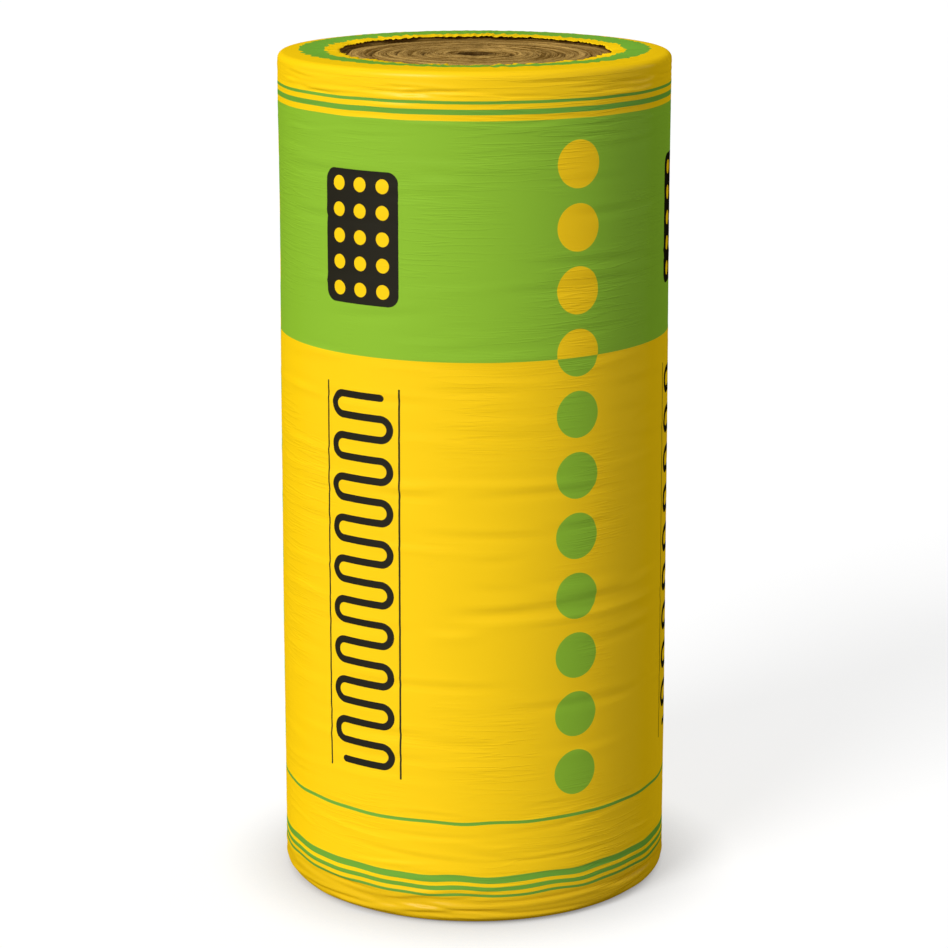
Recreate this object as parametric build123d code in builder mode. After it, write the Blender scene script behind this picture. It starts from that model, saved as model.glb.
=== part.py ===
"""Insulation roll: a glass-wool mat wound up tightly, standing on its end in a printed film wrap.

The wrap covers the side, goes over both edges and is turned in on the ends as a lip, which leaves a
round opening at the top and the bottom where the wound turns show.
Millimetres, +Z up, origin at the centre of the foot.
"""

import os

from build123d import *

# The wound mat
mat_width = 1200.0  # the width of the mat is the height of the wound roll
wound_diameter = 554.4
eye_diameter = 40.0  # the hole that the winding spindle leaves
turn_count = 7  # whole turns of the mat
turn_gap_width = 2.6  # the line between one turn and the next, seen on the ends
turn_gap_depth = 5.0

# The film wrap
film_thickness = 0.5  # a few layers of thin film, wound on together
film_clearance = 0.3  # between the film and the wool, all round
opening_diameter = 384.0  # inside the turned-in lips
toe_inset = 24.0  # from the side in to where the film lies flat on the floor
toe_rise = 6.0  # how far the film climbs from there to the side, before it is rounded
foot_edge_radius = 20.0  # how softly it turns up into the side
lip_gap = 4.4  # from the mat up to the lip's free edge, which the wool doesn't hold down
lip_rise = 3.4  # from the lip's free edge up to the crown, the highest ring of the film
crown_inset = 30.5  # from the side in to the crown
shoulder_height = 12.9  # from the top of the straight side up to the crown
# The two bends of the shoulder between the side and the crown, as shares of crown_inset and shoulder_height
shoulder_shares = ((0.062, 0.457), (0.262, 0.760))

# How far a cut runs past the face that it starts from
cut_overrun = 2.0

# Worked out from the sizes above
wound_radius = wound_diameter / 2
eye_radius = eye_diameter / 2
opening_radius = opening_diameter / 2
film_radius = wound_radius + film_clearance + film_thickness
mat_base = film_thickness + film_clearance
mat_top = mat_base + mat_width
lip_top = mat_top + lip_gap + film_thickness
crown_top = lip_top + lip_rise
side_top = crown_top - shoulder_height
half_pitch = (wound_radius - eye_radius) / (2 * turn_count)
shown_half_turns = int((opening_radius - eye_radius) / half_pitch) + 1

os.makedirs("parts", exist_ok=True)

# The wound mat: one turned solid with its eye, pressed in at both edges by the film
with BuildPart() as wool_roll:
    with BuildSketch(Plane.XZ):
        with BuildLine():
            Polyline(
                (eye_radius, mat_base),
                (wound_radius - toe_inset, mat_base),
                (wound_radius, mat_base + toe_inset),
                (wound_radius, mat_top - shoulder_height),
                (wound_radius - shoulder_height, mat_top),
                (eye_radius, mat_top),
                close=True,
            )
        make_face()
    revolve(axis=Axis.Z)

    # The turns on both ends: the mat's cut end at the eye, then a spiral of half circles about two
    # centres, as far out as the opening shows it
    for groove_floor in (mat_base - cut_overrun, mat_top - turn_gap_depth):
        with BuildSketch(Plane.XY.offset(groove_floor)):
            with BuildLine():
                Line((0, 0), (eye_radius + half_pitch, 0))
                for half_turn in range(1, shown_half_turns + 1):
                    first_side = half_turn % 2
                    CenterArc(
                        center=(0 if first_side else half_pitch, 0),
                        radius=eye_radius + half_turn * half_pitch,
                        start_angle=0 if first_side else 180,
                        arc_size=180,
                    )
            trace(line_width=turn_gap_width)
        extrude(amount=turn_gap_depth + cut_overrun, mode=Mode.SUBTRACT)

# The film wrap: one thin skin, turned in under the foot and over the crown
with BuildPart() as film_wrap:
    with BuildSketch(Plane.XZ):
        with BuildLine():
            shoulder = [
                (film_radius - inset_share * crown_inset, side_top + rise_share * shoulder_height)
                for inset_share, rise_share in shoulder_shares
            ]
            sharp_bends = [0] * (len(shoulder) + 2)
            FilletPolyline(
                (opening_radius, 0),
                (film_radius - toe_inset, 0),
                (film_radius, toe_rise),
                (film_radius, side_top),
                *shoulder,
                (film_radius - crown_inset, crown_top),
                (opening_radius, lip_top),
                radius=[0, foot_edge_radius, *sharp_bends],
            )
            offset(amount=film_thickness, side=Side.LEFT, closed=True)
        make_face()
    revolve(axis=Axis.Z)

wool_roll.part.label = "wool_roll"
film_wrap.part.label = "film_wrap"
export_step(wool_roll.part, "parts/wool_roll.step")
export_step(film_wrap.part, "parts/film_wrap.step")
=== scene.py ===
import math

import bpy
import numpy as np
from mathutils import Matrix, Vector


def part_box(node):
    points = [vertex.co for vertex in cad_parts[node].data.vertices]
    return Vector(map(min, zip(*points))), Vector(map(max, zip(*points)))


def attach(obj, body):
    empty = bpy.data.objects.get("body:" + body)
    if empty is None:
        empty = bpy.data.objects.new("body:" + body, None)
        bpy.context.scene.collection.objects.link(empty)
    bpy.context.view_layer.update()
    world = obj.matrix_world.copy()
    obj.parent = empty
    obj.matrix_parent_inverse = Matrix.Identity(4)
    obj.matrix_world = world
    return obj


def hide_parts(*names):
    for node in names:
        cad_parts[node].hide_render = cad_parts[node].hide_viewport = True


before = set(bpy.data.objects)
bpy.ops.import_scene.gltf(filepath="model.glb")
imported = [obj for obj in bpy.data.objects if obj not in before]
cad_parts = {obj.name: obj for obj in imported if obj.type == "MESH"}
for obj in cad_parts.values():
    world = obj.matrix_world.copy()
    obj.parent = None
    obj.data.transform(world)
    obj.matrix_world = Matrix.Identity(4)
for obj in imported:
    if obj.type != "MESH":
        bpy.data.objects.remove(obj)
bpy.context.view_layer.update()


# The wound mat
# One length of glass-wool mat, brown fibres bound in thin layers, wound so tightly that it stands as a firm
# drum. Its turns run as a spiral round the eye that the winding spindle left, and show on both ends.
wool_low, wool_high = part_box("wool_roll")
side_room, foot_room = 0.002, 0.0022  # left free for the film's creases
wool_outer = wool_high[0] - side_room
wool_foot = wool_low[2] + foot_room
wool_height = wool_high[2] - wool_foot
wool_opening = 0.198  # the ends are finely divided as far out as this
wool_eye = 0.020
wool_edge = 0.042  # how far the film presses both edges in
wool_pitch = 0.0365  # from one turn to the next
wool_wander, wander_scale = 0.009, 14.0  # how far the turns stray from an even spiral
gap_width, gap_depth = 0.0019, 0.0035  # the line between one turn and the next
layer_relief, fibre_relief = 0.0055, 0.0016
layer_spread = 10.0  # how far apart the turns lie in the noise of the layers
back_blend = 0.25  # how gently the noise of one half of the end goes over into the other's
broad_scale, fine_scale, seam_scale = 0.48, 1.9, 1.0
tuft_scale, fibre_scale = 260.0, 420.0
eye_rim_radius, eye_wander = 0.044, 0.011  # the eye's edge strays by so much, and its rim not at all
eye_wander_scales = (34.0, 41.0)
lip_swell_radii, lip_swell = (0.191, 0.201), 0.0038  # the wool swells up under the top lip
wool_columns = 400
foot_rows, hidden_rows, edge_rows, side_rows, top_rows, eye_rows = 44, 4, 3, 6, 98, 5
merge_distance = 1e-5


def add(tree, kind, feeds=None, **settings):
    """A node of a tree with its settings, each input fed by a socket or set to a value."""
    node = tree.nodes.new(kind)
    for name, value in settings.items():
        setattr(node, name, value)
    for key, value in (feeds or {}).items():
        if isinstance(value, bpy.types.NodeSocket):
            tree.links.new(value, node.inputs[key])
        else:
            node.inputs[key].default_value = value
    return node


def calc(tree, operation, first, second=0.0, third=0.0):
    """The result of one sum, product or function."""
    return add(tree, "ShaderNodeMath", {0: first, 1: second, 2: third}, operation=operation).outputs[0]


def ramp(tree, value, start, end, low=0.0, high=1.0, smooth=False):
    """A value that goes from low to high while another goes from start to end, and stays there."""
    kind = "SMOOTHSTEP" if smooth else "LINEAR"
    feeds = {"Value": value, "From Min": start, "From Max": end, "To Min": low, "To Max": high}
    return add(tree, "ShaderNodeMapRange", feeds, interpolation_type=kind, clamp=True).outputs["Result"]


def noise(tree, place, scale, detail=2.0, roughness=0.5):
    """Noise from 0 to 1 at a place."""
    feeds = {"Vector": place, "Scale": scale, "Detail": detail, "Roughness": roughness}
    return add(tree, "ShaderNodeTexNoise", feeds).outputs["Fac"]


def new_tree(name, kind, inputs, outputs):
    """An empty node tree with its named inputs and outputs, its input node and its output node."""
    tree = bpy.data.node_groups.new(name, kind)
    for socket, socket_type, value in inputs:
        made = tree.interface.new_socket(socket, in_out="INPUT", socket_type=socket_type)
        if value is not None:
            made.default_value = value
    for socket, socket_type in outputs:
        tree.interface.new_socket(socket, in_out="OUTPUT", socket_type=socket_type)
    return tree, tree.nodes.new("NodeGroupInput").outputs, tree.nodes.new("NodeGroupOutput").inputs


def make_spiral_group():
    """Shared by the mat's shape and its finish: where a point lies in the winding."""
    groups = {}
    for kind, name in (("GeometryNodeTree", "Winding shape"), ("ShaderNodeTree", "Winding finish")):
        tree, given, out = new_tree(
            name,
            kind,
            [
                ("Place", "NodeSocketVector", None),
                ("Pitch", "NodeSocketFloat", wool_pitch),
                ("Wander", "NodeSocketFloat", wool_wander),
            ],
            [
                ("Radius", "NodeSocketFloat"),
                ("Across Turn", "NodeSocketFloat"),
                ("Layer Place", "NodeSocketVector"),
                ("Back Place", "NodeSocketVector"),
                ("Back Share", "NodeSocketFloat"),
            ],
        )
        at = add(tree, "ShaderNodeSeparateXYZ", {0: given["Place"]}).outputs
        flat = add(tree, "ShaderNodeCombineXYZ", {0: at[0], 1: at[1]}).outputs[0]
        radius = add(tree, "ShaderNodeVectorMath", {0: flat}, operation="LENGTH").outputs["Value"]
        around = add(tree, "ShaderNodeVectorMath", {0: flat}, operation="NORMALIZE").outputs[0]
        spread = add(tree, "ShaderNodeSeparateXYZ", {0: around}).outputs
        wander = calc(tree, "SUBTRACT", noise(tree, flat, wander_scale), 0.5)
        wandered = calc(tree, "MULTIPLY_ADD", wander, given["Wander"], radius)
        wandered = calc(tree, "DIVIDE", wandered, given["Pitch"])
        for half, facing in (("Layer Place", 1.0), ("Back Place", -1.0)):
            ahead = calc(tree, "MULTIPLY", at[0], facing)
            angle = calc(tree, "ARCTAN2", calc(tree, "MULTIPLY", at[1], facing), ahead)
            turn = calc(tree, "ADD", wandered, calc(tree, "DIVIDE", angle, math.tau))
            layer = calc(tree, "MULTIPLY", turn, layer_spread)
            place = add(tree, "ShaderNodeCombineXYZ", {0: spread[0], 1: spread[1], 2: layer})
            tree.links.new(place.outputs[0], out[half])
        tree.links.new(radius, out["Radius"])
        # The two angles differ by half a turn, and either gives one unbroken spiral
        tree.links.new(calc(tree, "FRACT", turn), out["Across Turn"])
        tree.links.new(ramp(tree, spread[0], back_blend, -back_blend, smooth=True), out["Back Share"])
        groups[kind] = tree
    return groups


winding = make_spiral_group()


def layered(tree, wound, scale, detail=3.0, roughness=0.6):
    """Noise along the winding: two of them, each used on the side away from where its angle starts."""
    front = noise(tree, wound["Layer Place"], scale, detail, roughness)
    back = noise(tree, wound["Back Place"], scale, detail, roughness)
    return ramp(tree, wound["Back Share"], 0.0, 1.0, front, back)


def make_wool_tree(material):
    """The mat as one grid wrapped round the axis, from the foot end to the eye, with relief on its ends."""
    tree, given, out = new_tree(
        "Wound mat",
        "GeometryNodeTree",
        [
            ("Outer Radius", "NodeSocketFloat", wool_outer),
            ("Opening Radius", "NodeSocketFloat", wool_opening),
            ("Eye Radius", "NodeSocketFloat", wool_eye),
            ("Foot", "NodeSocketFloat", wool_foot),
            ("Height", "NodeSocketFloat", wool_height),
            ("Pressed Edge", "NodeSocketFloat", wool_edge),
            ("Pitch", "NodeSocketFloat", wool_pitch),
            ("Wander", "NodeSocketFloat", wool_wander),
            ("Gap Width", "NodeSocketFloat", gap_width),
            ("Gap Depth", "NodeSocketFloat", gap_depth),
            ("Layer Relief", "NodeSocketFloat", layer_relief),
            ("Fibre Relief", "NodeSocketFloat", fibre_relief),
            ("Eye Wander", "NodeSocketFloat", eye_wander),
            ("Lip Swell", "NodeSocketFloat", lip_swell),
        ],
        [("Geometry", "NodeSocketGeometry")],
    )
    rows = [0, foot_rows, hidden_rows, edge_rows, side_rows, edge_rows, hidden_rows, top_rows, eye_rows]
    marks = np.cumsum(rows)
    grid = add(
        tree,
        "GeometryNodeMeshGrid",
        {"Size X": 1.0, "Size Y": 1.0, "Vertices X": wool_columns + 1, "Vertices Y": int(marks[-1]) + 1},
    )
    at = add(tree, "ShaderNodeSeparateXYZ", {0: add(tree, "GeometryNodeInputPosition").outputs[0]}).outputs
    row = calc(tree, "MULTIPLY", calc(tree, "ADD", at[1], 0.5), float(marks[-1]))
    turn = calc(tree, "MULTIPLY", at[0], math.tau)
    inner = calc(tree, "SUBTRACT", given["Opening Radius"], given["Eye Radius"])
    outer = calc(tree, "SUBTRACT", given["Outer Radius"], given["Opening Radius"])
    hidden = calc(tree, "SUBTRACT", outer, given["Pressed Edge"])
    straight = calc(tree, "MULTIPLY_ADD", given["Pressed Edge"], -2.0, given["Height"])
    share = [ramp(tree, row, float(low), float(high)) for low, high in zip(marks[:-1], marks[1:])]
    end_out = calc(tree, "SUBTRACT", share[0], share[6])
    radius = calc(tree, "MULTIPLY_ADD", end_out, inner, given["Eye Radius"])
    hidden_out = calc(tree, "SUBTRACT", share[1], share[5])
    radius = calc(tree, "MULTIPLY_ADD", hidden_out, hidden, radius)
    edge_out = calc(tree, "SUBTRACT", share[2], share[4])
    radius = calc(tree, "MULTIPLY_ADD", edge_out, given["Pressed Edge"], radius)
    edge_up = calc(tree, "ADD", share[2], share[4])
    height = calc(tree, "MULTIPLY_ADD", edge_up, given["Pressed Edge"], given["Foot"])
    height = calc(tree, "MULTIPLY_ADD", share[3], straight, height)
    height = calc(tree, "SUBTRACT", height, calc(tree, "MULTIPLY", share[7], given["Height"]))
    side = calc(tree, "MULTIPLY", radius, calc(tree, "COSINE", turn))
    depth = calc(tree, "MULTIPLY", radius, calc(tree, "SINE", turn))
    wrapped_place = add(tree, "ShaderNodeCombineXYZ", {0: side, 1: depth, 2: height}).outputs[0]
    wrapped = add(
        tree, "GeometryNodeSetPosition", {"Geometry": grid.outputs["Mesh"], "Position": wrapped_place}
    ).outputs[0]
    merging = {"Geometry": wrapped, "Distance": merge_distance}
    closed = add(tree, "GeometryNodeMergeByDistance", merging).outputs[0]

    place = add(tree, "GeometryNodeInputPosition").outputs[0]
    winding_feeds = {"Place": place, "Pitch": given["Pitch"], "Wander": given["Wander"]}
    wound = add(tree, "GeometryNodeGroup", winding_feeds, node_tree=winding["GeometryNodeTree"])
    across = wound.outputs["Across Turn"]
    from_gap = calc(tree, "MULTIPLY", calc(tree, "PINGPONG", across, 0.5), given["Pitch"])
    gap = calc(tree, "DIVIDE", from_gap, given["Gap Width"])
    gap = calc(tree, "EXPONENT", calc(tree, "MULTIPLY", calc(tree, "MULTIPLY", gap, gap), -1.0))
    layer = calc(tree, "SUBTRACT", layered(tree, wound.outputs, broad_scale), 0.5)
    fibre = calc(tree, "SUBTRACT", noise(tree, place, tuft_scale), 0.5)
    relief = calc(tree, "MULTIPLY", layer, given["Layer Relief"])
    relief = calc(tree, "MULTIPLY_ADD", fibre, given["Fibre Relief"], relief)
    relief = calc(tree, "SUBTRACT", relief, calc(tree, "MULTIPLY", gap, given["Gap Depth"]))
    on_end = ramp(tree, wound.outputs["Radius"], wool_outer - wool_edge, wool_opening, smooth=True)
    level = add(tree, "ShaderNodeSeparateXYZ", {0: place}).outputs[2]
    upward = calc(tree, "SIGN", calc(tree, "SUBTRACT", level, wool_height / 2))
    swell = ramp(tree, wound.outputs["Radius"], *lip_swell_radii, smooth=True)
    swell = calc(tree, "MULTIPLY", swell, calc(tree, "MAXIMUM", upward, 0.0))
    relief = calc(tree, "MULTIPLY_ADD", swell, given["Lip Swell"], relief)
    move = calc(tree, "MULTIPLY", calc(tree, "MULTIPLY", relief, on_end), upward)
    by_eye = ramp(tree, wound.outputs["Radius"], eye_rim_radius, wool_eye, smooth=True)
    by_eye = calc(tree, "MULTIPLY", by_eye, given["Eye Wander"])
    shifts = [calc(tree, "SUBTRACT", noise(tree, place, s, detail=1.0), 0.5) for s in eye_wander_scales]
    shifts = [calc(tree, "MULTIPLY", shift, by_eye) for shift in shifts]
    offset = add(tree, "ShaderNodeCombineXYZ", {0: shifts[0], 1: shifts[1], 2: move}).outputs[0]
    rough = add(tree, "GeometryNodeSetPosition", {"Geometry": closed, "Offset": offset}).outputs[0]
    smooth = add(tree, "GeometryNodeSetShadeSmooth", {"Geometry": rough}).outputs[0]
    whole = add(tree, "GeometryNodeRealizeInstances", {"Geometry": smooth}).outputs[0]
    finished = add(tree, "GeometryNodeSetMaterial", {"Geometry": whole, "Material": material}).outputs[0]
    tree.links.new(finished, out["Geometry"])
    return tree


def new_material(name):
    """An empty material, its tree and its Principled shader."""
    material = bpy.data.materials.new(name)
    material.use_nodes = True
    tree = material.node_tree
    return material, tree, tree.nodes["Principled BSDF"]


def mix(tree, share, first, second):
    """One colour going over into another."""
    return add(tree, "ShaderNodeMix", {0: share, 6: first, 7: second}, data_type="RGBA").outputs[2]


dark_layer, light_layer = (0.148, 0.072, 0.010, 1), (0.61, 0.375, 0.104, 1)
loose_fibre = (0.62, 0.42, 0.16, 1)
# The colours for the gaps, the eye and the lips are painted shade: in the grooves between turns, in the
# eye's hole and in the wool under the film's lips.
seam_brown, gap_painted_shade = (0.06, 0.028, 0.005, 1), (0.06, 0.029, 0.006, 1)
eye_painted_shade, lip_painted_shade = (0.045, 0.021, 0.005, 1), (0.100, 0.056, 0.008, 1)
fine_share = 0.4
tone_range, fibre_range = (0.40, 0.60), (0.55, 0.85)
seam_reach, seam_share = 0.030, 0.62
gap_reach, gap_share = 0.07, 0.75
# Painted shade: how far out from the eye the wool is darkened, and how far down the eye's wall
eye_shade_radius, eye_share = 0.036, 0.86
eye_wall_depths, eye_wall_radii, eye_wall_share = (0.001, 0.005), (0.030, 0.024), 0.95
lip_shade_radii, lip_share = (0.180, 0.192), 0.62
wool_roughness = 0.95
fibre_bump_share, wool_bump, wool_bump_depth = 0.5, 0.7, 0.0025


def make_wool_finish():
    """Brown glass wool: light and dark layers that follow the winding, fine matt fibres, and painted shade
    in the gaps between turns, in the eye and under the lips.
    """
    material, tree, shader = new_material("glass_wool")
    place = add(tree, "ShaderNodeTexCoord").outputs["Object"]
    winding_feeds = {"Place": place, "Pitch": wool_pitch, "Wander": wool_wander}
    wound = add(tree, "ShaderNodeGroup", winding_feeds, node_tree=winding["ShaderNodeTree"])
    broad = layered(tree, wound.outputs, broad_scale)
    fine = layered(tree, wound.outputs, fine_scale)
    fibre = noise(tree, place, fibre_scale, detail=3.0, roughness=0.65)
    tone = calc(tree, "MULTIPLY_ADD", fine, fine_share, calc(tree, "MULTIPLY", broad, 1 - fine_share))
    colour = mix(tree, ramp(tree, tone, *tone_range), dark_layer, light_layer)
    colour = mix(tree, ramp(tree, fibre, *fibre_range), colour, loose_fibre)

    # Darker along the seams of the layers, and painted shade in the gaps between turns, in the eye and under
    # the lips
    seam = layered(tree, wound.outputs, seam_scale, detail=2.0, roughness=0.55)
    from_seam = calc(tree, "ABSOLUTE", calc(tree, "SUBTRACT", seam, 0.5))
    by_seam = ramp(tree, from_seam, seam_reach, 0.0, 0.0, seam_share, smooth=True)
    colour = mix(tree, by_seam, colour, seam_brown)
    # Painted shade in the grooves between turns
    from_gap = calc(tree, "PINGPONG", wound.outputs["Across Turn"], 0.5)
    by_gap = ramp(tree, from_gap, gap_reach, 0.0, 0.0, gap_share, smooth=True)
    colour = mix(tree, by_gap, colour, gap_painted_shade)
    radius = wound.outputs["Radius"]
    # Painted shade in the eye's hole and down the top of its wall
    by_eye = ramp(tree, radius, eye_shade_radius, wool_eye, 0.0, eye_share, smooth=True)
    colour = mix(tree, by_eye, colour, eye_painted_shade)
    level = add(tree, "ShaderNodeSeparateXYZ", {0: place}).outputs[2]
    wall_start, wall_end = (wool_high[2] - depth for depth in eye_wall_depths)
    on_wall = ramp(tree, level, wall_start, wall_end, 0.0, eye_wall_share, smooth=True)
    on_wall = calc(tree, "MULTIPLY", on_wall, ramp(tree, radius, *eye_wall_radii))
    colour = mix(tree, on_wall, colour, eye_painted_shade)
    # Painted shadow in the wool just inside the film's lip
    by_lip = ramp(tree, radius, *lip_shade_radii, 0.0, lip_share, smooth=True)
    colour = mix(tree, by_lip, colour, lip_painted_shade)
    tree.links.new(colour, shader.inputs["Base Color"])

    shader.inputs["Roughness"].default_value = wool_roughness
    shader.inputs["Specular IOR Level"].default_value = 0.0
    height = calc(tree, "MULTIPLY_ADD", fibre, fibre_bump_share, fine)
    bump_feeds = {"Strength": wool_bump, "Distance": wool_bump_depth, "Height": height}
    tree.links.new(add(tree, "ShaderNodeBump", bump_feeds).outputs[0], shader.inputs["Normal"])
    return material


def grown(name, tree):
    """The plain mesh that a Geometry Nodes tree gives, as an object of its own."""
    host = bpy.data.objects.new(name, bpy.data.meshes.new(name))
    bpy.context.collection.objects.link(host)
    host.modifiers.new("grow", "NODES").node_group = tree
    graph = bpy.context.evaluated_depsgraph_get()
    seen = host.evaluated_get(graph)
    made = bpy.data.meshes.new_from_object(seen, preserve_all_data_layers=True, depsgraph=graph)
    host.modifiers.clear()
    host.data = made
    made.name = name
    return host


wool_finish = make_wool_finish()
wool = grown("wound_mat", make_wool_tree(wool_finish))
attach(wool, "root")
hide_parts("wool_roll")


# The film wrap
# Thin polyethylene film, printed in greens and black on yellow and wound round the mat under tension. Past
# both edges it is turned in and gathers into small pleats, and its free edge stands a few millimetres off
# the wool.
film_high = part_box("film_wrap")[1]
film_radius = film_high[0]
crown_lift, crown_inset = 0.0003, 0.0305  # the crown lies a little over the solid's
film_top = film_high[2] + crown_lift
toe_inset, toe_rise = 0.017, 0.006
shoulder_fall = 0.0041
crown_radius = film_radius - crown_inset
bend_radius, bend_fall = 0.2118, 0.0017
lip_radius, lip_fall = 0.1915, 0.0036
toe_bend, foot_bend, shoulder_bend, crown_bend, lip_bend = 0.022, 0.018, 0.0100, 0.045, 0.06
girth = math.tau * film_radius
film_seed = 11


def rounded_path(corners, radii, arc_step=math.radians(4)):
    """Points along straight runs from corner to corner, each inner corner rounded to its radius."""
    corners = [np.array(c) for c in corners]
    points = [corners[0]]
    for before, corner, after, radius in zip(corners, corners[1:], corners[2:], radii):
        inward = (before - corner) / np.linalg.norm(before - corner)
        onward = (after - corner) / np.linalg.norm(after - corner)
        half = math.acos(float(np.clip(inward @ onward, -1, 1))) / 2
        middle = inward + onward
        centre = corner + middle / np.linalg.norm(middle) * radius / math.sin(half)
        start = corner + inward * radius / math.tan(half) - centre
        end = corner + onward * radius / math.tan(half) - centre
        swept = math.pi - 2 * half
        steps = max(2, int(swept / arc_step))
        for k in range(steps + 1):
            a, b = math.sin(swept * (1 - k / steps)), math.sin(swept * k / steps)
            points.append(centre + (start * a + end * b) / math.sin(swept))
    return np.array(points + [corners[-1]])


film_path = rounded_path(
    [
        (lip_radius, 0.0),
        (film_radius - toe_inset, 0.0),
        (film_radius, toe_rise),
        (film_radius, film_top - shoulder_fall),
        (crown_radius, film_top),
        (bend_radius, film_top - bend_fall),
        (lip_radius, film_top - lip_fall),
    ],
    [toe_bend, foot_bend, shoulder_bend, crown_bend, lip_bend],
)
path_steps = np.linalg.norm(np.diff(film_path, axis=0), axis=1)
path_at = np.concatenate([[0.0], np.cumsum(path_steps)])
film_width = float(path_at[-1])
on_side = np.argmax(film_path[:, 0] > film_radius - 1e-6)
side_start, side_foot = float(path_at[on_side]), float(film_path[on_side, 1])


def along_at(height):
    """How far along the film's width, from the foot's free edge, a height on the side lies."""
    return side_start + height - side_foot


crown_at = float(path_at[np.argmax(film_path[:, 1])])
shoulder_height = 0.016
shoulder_at = along_at(film_top - shoulder_height)


def path_point(along):
    """Radius and height of the film's section, at lengths along its width."""
    return np.stack([np.interp(along, path_at, measure) for measure in film_path.T])


def section(along):
    """Radius, height and outward normal of the film's section, at lengths along its width."""
    reach = 0.0015
    inner = np.clip(along, reach, film_width - reach)
    radius, height = path_point(along)
    run = path_point(inner + reach) - path_point(inner - reach)
    run /= np.linalg.norm(run, axis=0)
    return radius, height, run[1], -run[0]


def wrapped_round(distance):
    """A distance round the roll, taken the short way."""
    return (distance + girth / 2) % girth - girth / 2


foot_folds_from = side_start - 0.014
foot_folds_to, low_folds_to, middle_folds_to = along_at(0.046), along_at(0.190), along_at(1.110)
high_folds_to, shoulder_folds_to = along_at(1.166), along_at(1.194)
# Zones of folds: how many, where, half lengths, half widths, heights and slant
fold_zones = [
    (70, (high_folds_to, shoulder_folds_to), (0.04, 0.12), (0.0024, 0.0046), (0.0006, 0.0017), 0.035),
    (54, (middle_folds_to, high_folds_to), (0.05, 0.14), (0.0026, 0.0046), (0.00025, 0.0008), 0.035),
    (64, (foot_folds_from, foot_folds_to), (0.06, 0.18), (0.0026, 0.0052), (0.0011, 0.0032), 0.100),
    (90, (foot_folds_to, low_folds_to), (0.06, 0.18), (0.0030, 0.0056), (0.00030, 0.0011), 0.060),
    (230, (low_folds_to, middle_folds_to), (0.05, 0.18), (0.0045, 0.0080), (0.0005, 0.0015), 0.035),
]
fold_bow = 0.006
fold_reach, fold_sharpness = 4, 1.6
trough_share, trough_at = 0.6, 1.4


def draw_folds(rng):
    """Long shallow creases round the roll: place, half length, half width, height, slant and bow of each."""
    folds = []
    for count, zone, lengths, widths, heights, slants in fold_zones:
        for _ in range(count):
            folds.append(
                (
                    rng.uniform(-girth / 2, girth / 2),
                    rng.uniform(*zone),
                    rng.uniform(*lengths),
                    rng.uniform(*widths),
                    rng.uniform(*heights) * rng.choice([-1, 1]),
                    rng.normal(0, slants),
                    rng.normal(0, fold_bow),
                )
            )
    return folds


def crease_height(folds, around, along):
    """How far the creases lift the film round one ring of it."""
    lift = np.zeros_like(around)
    for place, level, length, width, height, slant, bow in folds:
        if abs(along - level) > fold_reach * width + abs(slant) * length + abs(bow):
            continue
        sideways = np.clip(wrapped_round(around - place) / length, -1, 1)
        across = (along - level - slant * sideways * length - bow * sideways**2) / width
        trough = trough_share * np.exp(-((across - trough_at) ** 2))
        ridge = np.exp(-np.abs(across) ** fold_sharpness) - trough
        lift += (1 - sideways**2) ** 2 * ridge * height
    return lift


pleat_stray, pleat_widths, pleat_heights = 0.35, (0.26, 0.46), (0.2, 1)
pleat_lean = 0.5


def draw_pleats(rng, count):
    """The gathered pleats of one lip: place, width, height and pull of each."""
    step = girth / count
    places = (np.arange(count) + rng.uniform(-pleat_stray, pleat_stray, count)) * step - girth / 2
    widths = rng.uniform(*pleat_widths, count) * step
    heights = rng.uniform(*pleat_heights, count)
    pulls = rng.normal(0, 1, count)
    return list(zip(places, widths, heights, pulls))


def pleat_height(pleats, around):
    """Lift and pull of the pleats, of about unit size, at places round the lip."""
    lift, pull = np.zeros_like(around), np.zeros_like(around)
    for place, width, height, drawn in pleats:
        across = wrapped_round(around - place) / width
        near = np.exp(-(across**2))
        lift += height * near * (1 - pleat_lean * across)
        pull += drawn * near
    return lift, pull


top_pleat_count, foot_pleat_count = 132, 112
sway_count, sway_turns, sway_rises = 7, (2, 7), (2, 9)
edge_count, edge_turns = 5, (5, 16)
print_count, print_turns, print_rises = 6, (7, 27), (15, 70)
ring_count, ring_turns = 6, (28, 75)
rng = np.random.default_rng(film_seed)
folds = draw_folds(rng)
top_pleats, foot_pleats = draw_pleats(rng, top_pleat_count), draw_pleats(rng, foot_pleat_count)


def draw_phase(rng):
    """Where a wave round the roll starts."""
    return rng.uniform(0, math.tau)


sway = [
    (rng.integers(*sway_turns), rng.uniform(*sway_rises), draw_phase(rng), draw_phase(rng))
    for _ in range(sway_count)
]
edge_waves = [(rng.integers(*edge_turns), draw_phase(rng)) for _ in range(edge_count)]
print_waves = [
    (rng.integers(*print_turns), rng.uniform(*print_rises), draw_phase(rng)) for _ in range(print_count)
]
ring_waves = [(rng.integers(*ring_turns), draw_phase(rng)) for _ in range(ring_count)]

foot_lip_end = side_start - 0.03
side_fade = 0.05
gather_start, gather_run = shoulder_at + 0.020, 0.025
taut_share, taut_from, taut_run = 0.7, 0.90, 0.08  # the creases are shallower on the roll's two flanks
crease_limits, rise_limits = (-0.0024, 0.0012), (-0.0022, 0.0016)
side_sink, bulge_height = 0.0003, 0.00028
pleat_start, pleat_gain, pleat_sink = 0.0007, 0.0010, 0.0004
pull_rise, pull_reach, rag_reach = 0.0008, 0.0014, 0.0009
foot_pleat_height, foot_pleat_mean = 0.0012, 1.2
sag_top, sag_run, sag_depth = along_at(1.1), 0.75, 0.0032  # the roll is a little wider towards its foot
foot_wander_top, foot_wander_run = along_at(0.20), 0.10
top_wander_start, top_wander_run, top_wander_share = along_at(1.13), 0.05, 0.15
print_wander, print_follow = 0.00052, 0.3  # how far the printed lines stray and go with the pleats
ring_pull, ring_wave = 0.0016, 0.0010


def fade(value, start, run):
    """From 0 to 1 while a value goes from a start on by a run."""
    return np.clip((value - start) / run, 0, 1)


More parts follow.
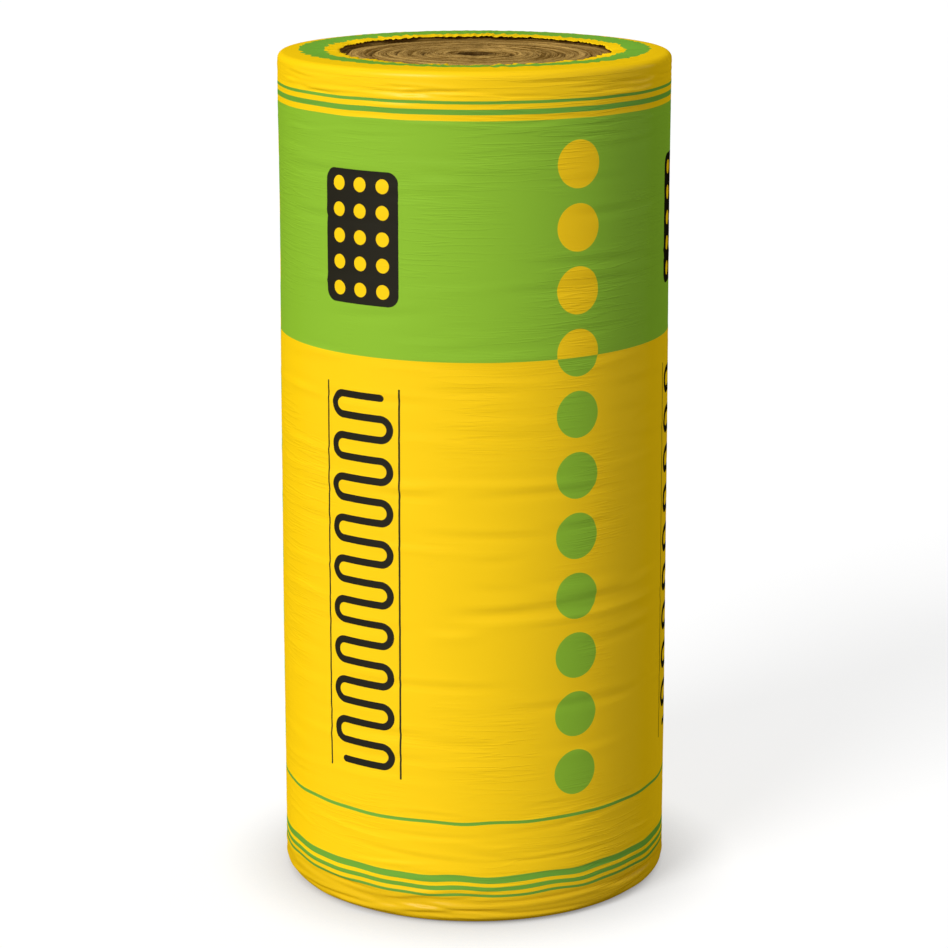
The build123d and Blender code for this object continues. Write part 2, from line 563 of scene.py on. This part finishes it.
def film_ring(around, along, sunk):
    """One ring of the film, sunk by so much below its outer face, and where the print lies on it."""
    turns = around / film_radius
    lip = fade(along, crown_at, film_width - crown_at)
    foot_lip = 1 - fade(along, 0, foot_lip_end)
    side = fade(along, side_start, side_fade) * fade(shoulder_at, along, side_fade)
    gathered = fade(along, gather_start, gather_run)
    taut = 1 - taut_share * fade(np.abs(np.sin(turns)), taut_from, taut_run)
    rise = np.clip(taut * crease_height(folds, around, along), *crease_limits) - side_sink * side
    drawn, ring_shift = np.zeros_like(around), np.zeros_like(around)
    if side > 0:
        bulge = sum(np.sin(n * turns + m * along + a) * np.sin(m * along + b) for n, m, a, b in sway)
        rise += side * bulge * bulge_height
    if gathered > 0:
        lift, pull = pleat_height(top_pleats, around)
        rag = sum(np.sin(n * turns + phase) for n, phase in edge_waves)
        waves = sum(np.sin(n * turns + phase) for n, phase in ring_waves)
        rise += gathered * ((pleat_start + pleat_gain * lip) * lift - pleat_sink) + lip**2 * pull * pull_rise
        drawn += lip**2 * (rag * rag_reach + pull * pull_reach)
        ring_shift += gathered * (pull * ring_pull + waves * ring_wave)
    if foot_lip > 0:
        lift, pull = pleat_height(foot_pleats, around)
        rise += foot_lip * foot_pleat_height * (lift - foot_pleat_mean)
        drawn += foot_lip**2 * pull * pull_reach
    rise = np.clip(rise, *rise_limits) - sunk
    radius, height, out_r, out_z = section(along + drawn)
    past_edge = np.clip(along + drawn - film_width, 0, None) + np.clip(-along - drawn, 0, None)
    sag = fade(sag_top, along, sag_run)
    radius = radius - past_edge + out_r * rise + sag_depth * sag**2 * (3 - 2 * sag)
    height = np.maximum(height + out_z * rise, sunk / 2)
    points = np.stack([radius * np.sin(turns), -radius * np.cos(turns), height], axis=-1)

    near_top = np.minimum(fade(along, top_wander_start, top_wander_run), top_wander_share)
    near_end = fade(foot_wander_top, along, foot_wander_run) + near_top
    wobble = sum(np.sin(n * turns + m * along + phase) for n, m, phase in print_waves)
    print_at = along - drawn + gathered * (1 - lip) * print_follow * drawn
    return points, print_at + near_end * wobble * print_wander + ring_shift


side_columns, foot_columns, lip_columns = 192, 384, 1152
film_thin, crown_thin, toe_thin, film_hidden = 0.00035, 0.0009, 0.0012, 0.0020
toe_at, pleats_at = side_start - 0.040, shoulder_at + 0.021
foot_rings_to, low_rings_to, middle_rings_to, high_rings_to = (along_at(h) for h in (0.11, 0.20, 1.10, 1.15))
inner_lip_at, inner_shoulder_at, inner_foot_at = film_width - 0.03, shoulder_at - 0.03, side_start + 0.02
inner_heights = (0.9, 0.6, 0.3)


def film_rings():
    """The rings of the closed skin, from the foot's free edge up the outside and back down the inside."""
    # Zones of rings: from where to where, how far apart, and how many points each has
    zones = [
        (0.0, toe_at, 0.006, foot_columns),
        (toe_at, foot_rings_to, 0.0018, side_columns),
        (foot_rings_to, low_rings_to, 0.0030, side_columns),
        (low_rings_to, middle_rings_to, 0.0052, side_columns),
        (middle_rings_to, high_rings_to, 0.0024, side_columns),
        (high_rings_to, pleats_at, 0.0017, side_columns),
        (pleats_at, film_width, 0.0037, lip_columns),
    ]
    rings = []
    for start, end, step, columns in zones:
        count = max(2, round((end - start) / step))
        last = end == film_width
        rings += [(start + (end - start) * k / count, 0.0, columns) for k in range(count + last)]
    inside = [
        (film_width, film_thin, lip_columns),
        (inner_lip_at, film_thin, lip_columns),
        (crown_at, crown_thin, side_columns),
        (inner_shoulder_at, film_hidden, side_columns),
        *((along_at(height), film_hidden, side_columns) for height in inner_heights),
        (inner_foot_at, film_hidden, side_columns),
        (foot_lip_end, toe_thin, side_columns),
        (0.0, film_thin, foot_columns),
    ]
    return rings + inside


def stitched_skin(name, rings):
    """A closed mesh from rings of points, with the print's places as its UV map, in metres."""
    points, places, first = [], [], []
    for along, sunk, columns in rings:
        around = (np.arange(columns) / columns - 0.5) * girth
        ring, print_at = film_ring(around, along, sunk)
        first.append(sum(len(p) for p in points))
        points.append(ring)
        places.append(np.stack([around, print_at], axis=-1))
    faces, corners = [], []
    for k in range(len(rings)):
        low, high = k, (k + 1) % len(rings)
        few = min(rings[low][2], rings[high][2])
        low_step, high_step = rings[low][2] // few, rings[high][2] // few
        for j in range(few):
            lower = [(low, j * low_step + m) for m in range(low_step + 1)]
            upper = [(high, j * high_step + m) for m in range(high_step + 1)]
            faces.append(lower + upper[::-1])
    count = [r[2] for r in rings]
    index = [[first[ring] + column % count[ring] for ring, column in face] for face in faces]
    for face in faces:
        for ring, column in face:
            u, v = places[ring][column % count[ring]]
            corners.append((u + girth * (column // count[ring]), v))
    mesh = bpy.data.meshes.new(name)
    mesh.from_pydata(np.concatenate(points), [], index)
    mesh.uv_layers.new(name="print").data.foreach_set("uv", np.array(corners, dtype=np.float32).ravel())
    mesh.polygons.foreach_set("use_smooth", [True] * len(mesh.polygons))
    mesh.update()
    return mesh


yellow = (0.98, 0.622, 0.006, 1)
band_green = (0.262, 0.495, 0.030, 1)
line_green = (0.158, 0.385, 0.038, 1)
ring_green = (0.190, 0.455, 0.042, 1)
ink = (0.012, 0.010, 0.004, 1)
edge_blur = 0.0003
film_gloss, gloss_facing = 0.33, (0.15, 0.60)
coat_roughness, coat_ior = 0.34, 1.45
drawn_stretch, drawn_scale, ridge_reach = 0.06, 95.0, 0.06
drawn_range, film_roughness = (0.2, 0.8), (0.40, 0.52)
patch_scale, patch_range = 6.0, (0.46, 0.66)
film_bump, film_bump_depth = 0.6, 0.0005


def make_band_group():
    """A printed band between two places along a coordinate."""
    tree, given, out = new_tree(
        "Printed band",
        "ShaderNodeTree",
        [
            ("Place", "NodeSocketFloat", 0.0),
            ("From", "NodeSocketFloat", 0.0),
            ("To", "NodeSocketFloat", 1.0),
        ],
        [("Ink", "NodeSocketFloat")],
    )
    start = calc(tree, "SUBTRACT", given["Place"], given["From"])
    end = calc(tree, "SUBTRACT", given["To"], given["Place"])
    inside = calc(tree, "MINIMUM", start, end)
    tree.links.new(ramp(tree, inside, -edge_blur, edge_blur), out["Ink"])
    return tree


band_group = make_band_group()


def band(tree, place, start, end):
    """The ink of a band between two places along a coordinate."""
    feeds = {"Place": place, "From": start, "To": end}
    return add(tree, "ShaderNodeGroup", feeds, node_tree=band_group).outputs["Ink"]


def make_hatch_group():
    """The drafting sign for insulation: one line that runs to and fro across a band, with round turns."""
    tree, given, out = new_tree(
        "Serpentine hatch",
        "ShaderNodeTree",
        [
            ("Across", "NodeSocketFloat", 0.0),
            ("Along", "NodeSocketFloat", 0.0),
            ("Reach", "NodeSocketFloat", hatch_reach),
            ("Spacing", "NodeSocketFloat", hatch_spacing),
            ("Stroke", "NodeSocketFloat", hatch_stroke),
            ("Runs", "NodeSocketFloat", hatch_runs),
        ],
        [("Ink", "NodeSocketFloat")],
    )
    run = calc(tree, "DIVIDE", given["Along"], given["Spacing"])
    left = calc(tree, "LESS_THAN", given["Across"], 0.0)
    pair = calc(tree, "SUBTRACT", calc(tree, "FLOORED_MODULO", calc(tree, "ADD", run, left), 2.0), 1.0)
    half_spacing = calc(tree, "MULTIPLY", given["Spacing"], 0.5)
    turn_start = calc(tree, "SUBTRACT", given["Reach"], half_spacing)
    into_turn = calc(tree, "SUBTRACT", calc(tree, "ABSOLUTE", given["Across"]), turn_start)
    into_turn = calc(tree, "MAXIMUM", into_turn, 0.0)
    from_middle = calc(tree, "MULTIPLY", pair, given["Spacing"])
    middle_square = calc(tree, "MULTIPLY", from_middle, from_middle)
    squares = calc(tree, "MULTIPLY_ADD", into_turn, into_turn, middle_square)
    away = calc(tree, "ABSOLUTE", calc(tree, "SUBTRACT", calc(tree, "SQRT", squares), half_spacing))
    off_run = calc(tree, "SUBTRACT", calc(tree, "FRACT", run), 0.5)
    from_run = calc(tree, "MULTIPLY", off_run, given["Spacing"])
    squares = calc(tree, "MULTIPLY_ADD", into_turn, into_turn, calc(tree, "MULTIPLY", from_run, from_run))
    past_end = calc(tree, "SUBTRACT", calc(tree, "SQRT", squares), away)
    first_end = calc(tree, "MULTIPLY", left, calc(tree, "LESS_THAN", run, 1.0))
    last_run = calc(tree, "GREATER_THAN", run, calc(tree, "SUBTRACT", given["Runs"], 1.0))
    last_end = calc(tree, "MULTIPLY", calc(tree, "SUBTRACT", 1.0, left), last_run)
    away = calc(tree, "MULTIPLY_ADD", calc(tree, "MAXIMUM", first_end, last_end), past_end, away)
    line = band(tree, away, -1.0, calc(tree, "MULTIPLY", given["Stroke"], 0.5))
    whole = band(tree, run, 0.0, given["Runs"])
    tree.links.new(calc(tree, "MULTIPLY", line, whole), out["Ink"])
    return tree


def make_plate_group():
    """A plate with rounded corners."""
    tree, given, out = new_tree(
        "Rounded plate",
        "ShaderNodeTree",
        [
            ("Across", "NodeSocketFloat", 0.0),
            ("Along", "NodeSocketFloat", 0.0),
            ("Half Width", "NodeSocketFloat", plate_half_width),
            ("Half Height", "NodeSocketFloat", plate_half_height),
            ("Corner", "NodeSocketFloat", plate_corner),
        ],
        [("Ink", "NodeSocketFloat")],
    )
    past = []
    for place, half in (("Across", "Half Width"), ("Along", "Half Height")):
        straight = calc(tree, "SUBTRACT", given[half], given["Corner"])
        over = calc(tree, "SUBTRACT", calc(tree, "ABSOLUTE", given[place]), straight)
        past.append(calc(tree, "MAXIMUM", over, 0.0))
    squares = calc(tree, "MULTIPLY_ADD", past[0], past[0], calc(tree, "MULTIPLY", past[1], past[1]))
    tree.links.new(band(tree, calc(tree, "SQRT", squares), -1.0, given["Corner"]), out["Ink"])
    return tree


def printed(tree, group, across, along):
    """The ink of one printed motif, at places across and along it."""
    return add(tree, "ShaderNodeGroup", {"Across": across, "Along": along}, node_tree=group).outputs["Ink"]


hatch_angle = math.radians(-34)
hatch_foot = 0.212
hatch_runs, hatch_spacing, hatch_reach, hatch_stroke = 19, 0.0295, 0.046, 0.0105
rule_gap, rule_width = 0.014, 0.0028
plate_height, plate_half_width, plate_half_height, plate_corner = 0.977, 0.060, 0.092, 0.016
plate_dot_pitch, plate_dot_size = 0.036, 0.020
plate_dots = (3, 5)
print_repeat = girth / 3
dot_angle = math.radians(30.5)
dot_heights = (0.2169, 1.0786)
dot_count = 11
dot_size = 0.066
line_heights = [
    (1.1631, 1.1673),
    (1.1487, 1.1560),
    (0.1510, 0.1557),
    (0.0643, 0.0743),
    (0.0524, 0.0588),
    (0.0431, 0.0470),
]
broad_band = (0.8137, 1.1406)
ring_radii = (0.2475, 0.2118)
# Painted shade: the film is made darker towards its foot, where it turns in under the roll
foot_shade_heights, foot_shade_share, foot_shade_tint = (0.034, 0.060), 1.0, (0.78, 0.76, 0.90, 1)
hatch_group, plate_group = make_hatch_group(), make_plate_group()


def from_nearest(tree, place, pitch, count):
    """How far a place is from the nearest of a few equally spaced marks about zero."""
    reach = (count - 1) / 2
    which = calc(tree, "ADD", calc(tree, "DIVIDE", place, pitch), reach)
    nearest = calc(tree, "MINIMUM", calc(tree, "MAXIMUM", calc(tree, "ROUND", which), 0.0), count - 1.0)
    return calc(tree, "MULTIPLY", calc(tree, "SUBTRACT", which, nearest), pitch)


def dot_grid(tree, across, along, pitch, counts, size):
    """The ink of a grid of round dots about zero, so many across and along."""
    sides = [from_nearest(tree, place, pitch, count) for place, count in zip((across, along), counts)]
    squares = calc(tree, "MULTIPLY_ADD", sides[0], sides[0], calc(tree, "MULTIPLY", sides[1], sides[1]))
    return band(tree, calc(tree, "SQRT", squares), -1.0, size / 2)


def from_column(tree, around, angle):
    """How far round the roll a point is from the nearest repeat of a column of print."""
    shift = 0.5 - angle * film_radius / print_repeat
    column = calc(tree, "ADD", calc(tree, "DIVIDE", around, print_repeat), shift)
    return calc(tree, "MULTIPLY", calc(tree, "SUBTRACT", calc(tree, "FRACT", column), 0.5), print_repeat)


def make_film_finish():
    """Printed film: ink by its place on the film, painted shade that darkens it towards its foot, thin-film
    gloss, and fine drawn creases as relief.
    """
    material, tree, shader = new_material("printed_film")
    place = add(tree, "ShaderNodeUVMap", uv_map="print").outputs[0]
    around, along, _ = add(tree, "ShaderNodeSeparateXYZ", {0: place}).outputs

    ring_low = film_width - (ring_radii[0] - lip_radius)
    ring_high = film_width - (ring_radii[1] - lip_radius)
    foot_ring = band(tree, along, ring_radii[1] - lip_radius, ring_radii[0] - lip_radius)
    rings = calc(tree, "MAXIMUM", band(tree, along, ring_low, ring_high), foot_ring)
    lines = 0.0
    for low, high in line_heights:
        lines = calc(tree, "MAXIMUM", band(tree, along, along_at(low), along_at(high)), lines)
    broad = band(tree, along, along_at(broad_band[0]), along_at(broad_band[1]))

    sideways = from_column(tree, around, dot_angle)
    dot_pitch = (dot_heights[1] - dot_heights[0]) / (dot_count - 1)
    up_dots = calc(tree, "SUBTRACT", along, along_at(sum(dot_heights) / 2))
    dots = dot_grid(tree, sideways, up_dots, dot_pitch, (1, dot_count), dot_size)

    colour = mix(tree, lines, mix(tree, rings, yellow, ring_green), line_green)
    colour = mix(tree, broad, colour, band_green)
    dot_colour = mix(tree, broad, band_green, yellow)
    colour = mix(tree, dots, colour, dot_colour)

    across = from_column(tree, around, hatch_angle)
    up_hatch = calc(tree, "SUBTRACT", along, along_at(hatch_foot))
    hatch = printed(tree, hatch_group, across, up_hatch)
    from_rule = calc(tree, "SUBTRACT", calc(tree, "ABSOLUTE", across), hatch_reach + rule_gap)
    rules = calc(
        tree,
        "MULTIPLY",
        band(tree, from_rule, -rule_width / 2, rule_width / 2),
        band(tree, up_hatch, 0.0, hatch_runs * hatch_spacing),
    )
    up_plate = calc(tree, "SUBTRACT", along, along_at(plate_height))
    plate = printed(tree, plate_group, across, up_plate)
    plate_dots_ink = dot_grid(tree, across, up_plate, plate_dot_pitch, plate_dots, plate_dot_size)
    colour = mix(tree, calc(tree, "MAXIMUM", calc(tree, "MAXIMUM", hatch, rules), plate), colour, ink)
    colour = mix(tree, plate_dots_ink, colour, yellow)
    # Painted shade: the print is multiplied darker towards the foot
    foot_shade_low, foot_shade_high = (along_at(height) for height in foot_shade_heights)
    painted_foot_shade = ramp(tree, along, foot_shade_low, foot_shade_high, foot_shade_share, 0.0, smooth=True)
    foot_shading = {0: painted_foot_shade, 6: colour, 7: foot_shade_tint}
    colour = add(tree, "ShaderNodeMix", foot_shading, data_type="RGBA", blend_type="MULTIPLY").outputs[2]
    tree.links.new(colour, shader.inputs["Base Color"])

    slow = calc(tree, "MULTIPLY", around, drawn_stretch)
    stretched = add(tree, "ShaderNodeCombineXYZ", {0: slow, 1: along}).outputs[0]
    drawn = noise(tree, stretched, drawn_scale, roughness=0.55)
    from_ridge = calc(tree, "ABSOLUTE", calc(tree, "SUBTRACT", drawn, 0.5))
    ridge = ramp(tree, from_ridge, ridge_reach, 0.0, smooth=True)
    on_object = add(tree, "ShaderNodeTexCoord").outputs["Object"]
    patch = ramp(tree, noise(tree, on_object, patch_scale, detail=1.0), *patch_range)
    relief = calc(tree, "MULTIPLY", ridge, patch)
    bump_feeds = {"Strength": film_bump, "Distance": film_bump_depth, "Height": relief}
    tree.links.new(add(tree, "ShaderNodeBump", bump_feeds).outputs[0], shader.inputs["Normal"])
    tree.links.new(ramp(tree, drawn, *drawn_range, *film_roughness), shader.inputs["Roughness"])
    shader.inputs["Specular IOR Level"].default_value = 0.0
    facing = add(tree, "ShaderNodeLayerWeight", {"Blend": 0.5}).outputs["Facing"]
    tree.links.new(ramp(tree, facing, *gloss_facing, film_gloss, 0.0), shader.inputs["Coat Weight"])
    shader.inputs["Coat Roughness"].default_value = coat_roughness
    shader.inputs["Coat IOR"].default_value = coat_ior
    return material


film = bpy.data.objects.new("printed_wrap", stitched_skin("printed_wrap", film_rings()))
bpy.context.collection.objects.link(film)
film.data.materials.append(make_film_finish())
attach(film, "root")
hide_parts("film_wrap")


# The floor and the light
# A plain pale floor that runs out of sight under a white surround, one large soft lamp from the front left,
# a weak one from behind on the right, and a dim surround that fills the shade and is dimmer overhead.
floor_half = 30.0
floor_grey = (0.31, 0.31, 0.31, 1)
# Painted contact shadow: the glow is lower where the floor is occluded, in the corner under the roll
floor_glow = (0.22, 0.775)  # in the corner under the roll, and in the open
corner_reach, corner_samples = 0.12, 8
floor_mesh = bpy.data.meshes.new("floor")
floor_corners = [(x * floor_half, y * floor_half, 0) for x, y in ((-1, -1), (1, -1), (1, 1), (-1, 1))]
floor_mesh.from_pydata(floor_corners, [], [(0, 1, 2, 3)])
floor = bpy.data.objects.new("floor", floor_mesh)
bpy.context.collection.objects.link(floor)


def seen_directly(tree):
    """1 where the camera sees a surface directly, in a reflection or through something clear."""
    rays = add(tree, "ShaderNodeLightPath").outputs
    seen = calc(tree, "MAXIMUM", rays["Is Camera Ray"], rays["Is Glossy Ray"])
    return calc(tree, "MAXIMUM", seen, rays["Is Transmission Ray"])


def make_floor_finish():
    """Pale matt floor that keeps a light shadow and is white where it is lit; near the roll its glow is
    dimmed by occlusion, a painted contact shadow.
    """
    material, tree, shader = new_material("floor")
    tree.nodes.remove(shader)
    matt = add(tree, "ShaderNodeBsdfDiffuse", {"Color": floor_grey}).outputs[0]
    # Occlusion dims the glow near the roll: a painted contact shadow
    corner = add(tree, "ShaderNodeAmbientOcclusion", {"Distance": corner_reach}, samples=corner_samples)
    glow_level = ramp(tree, corner.outputs["AO"], 0.0, 1.0, *floor_glow)
    glow = add(tree, "ShaderNodeEmission", {"Color": (1, 1, 1, 1), "Strength": glow_level}).outputs[0]
    white = add(tree, "ShaderNodeAddShader", {0: matt, 1: glow}).outputs[0]
    either = add(tree, "ShaderNodeMixShader", {0: seen_directly(tree), 1: matt, 2: white}).outputs[0]
    tree.links.new(either, tree.nodes["Material Output"].inputs["Surface"])
    return material


floor_mesh.materials.append(make_floor_finish())

world = bpy.data.worlds.new("surround")
world.use_nodes = True
surround = world.node_tree
level_fill, overhead_fill = 0.60, 0.15
direction = add(surround, "ShaderNodeTexCoord").outputs["Generated"]
upward = add(surround, "ShaderNodeSeparateXYZ", {0: direction}).outputs[2]
fill_level = ramp(surround, upward, 0.0, 1.0, level_fill, overhead_fill)
strength = ramp(surround, seen_directly(surround), 0.0, 1.0, fill_level, 1.0)
background = surround.nodes["Background"]
background.inputs["Color"].default_value = (1, 1, 1, 1)
surround.links.new(strength, background.inputs["Strength"])
bpy.context.scene.world = world


def add_sun(name, energy, spread, azimuth, elevation):
    """A lamp as wide as its spread, so far round from the front and so far over the floor, in degrees."""
    lamp = bpy.data.lights.new(name, "SUN")
    lamp.energy = energy
    lamp.angle = math.radians(spread)
    sun = bpy.data.objects.new(name, lamp)
    sun.rotation_euler = (math.radians(90 - elevation), 0, math.radians(azimuth))
    bpy.context.collection.objects.link(sun)


add_sun("key", energy=2.8, spread=24, azimuth=-39, elevation=33)
add_sun("back", energy=0.55, spread=20, azimuth=130, elevation=6)


# The camera
# At eye height, four metres in front of the roll and tilted down: the roll fills the picture's height.
camera_place = (-0.0007, -4.2593, 1.6508)
camera_tilt = math.radians(13.990)  # down from level
sensor_width, lens_length = 36, 114.17
camera_data = bpy.data.cameras.new("camera")
camera_data.sensor_width = sensor_width
camera_data.lens = lens_length
camera = bpy.data.objects.new("camera", camera_data)
camera.location = camera_place
camera.rotation_euler = (math.pi / 2 - camera_tilt, 0, 0)
bpy.context.collection.objects.link(camera)
bpy.context.scene.camera = camera

bpy.context.scene.view_settings.view_transform = "Standard"
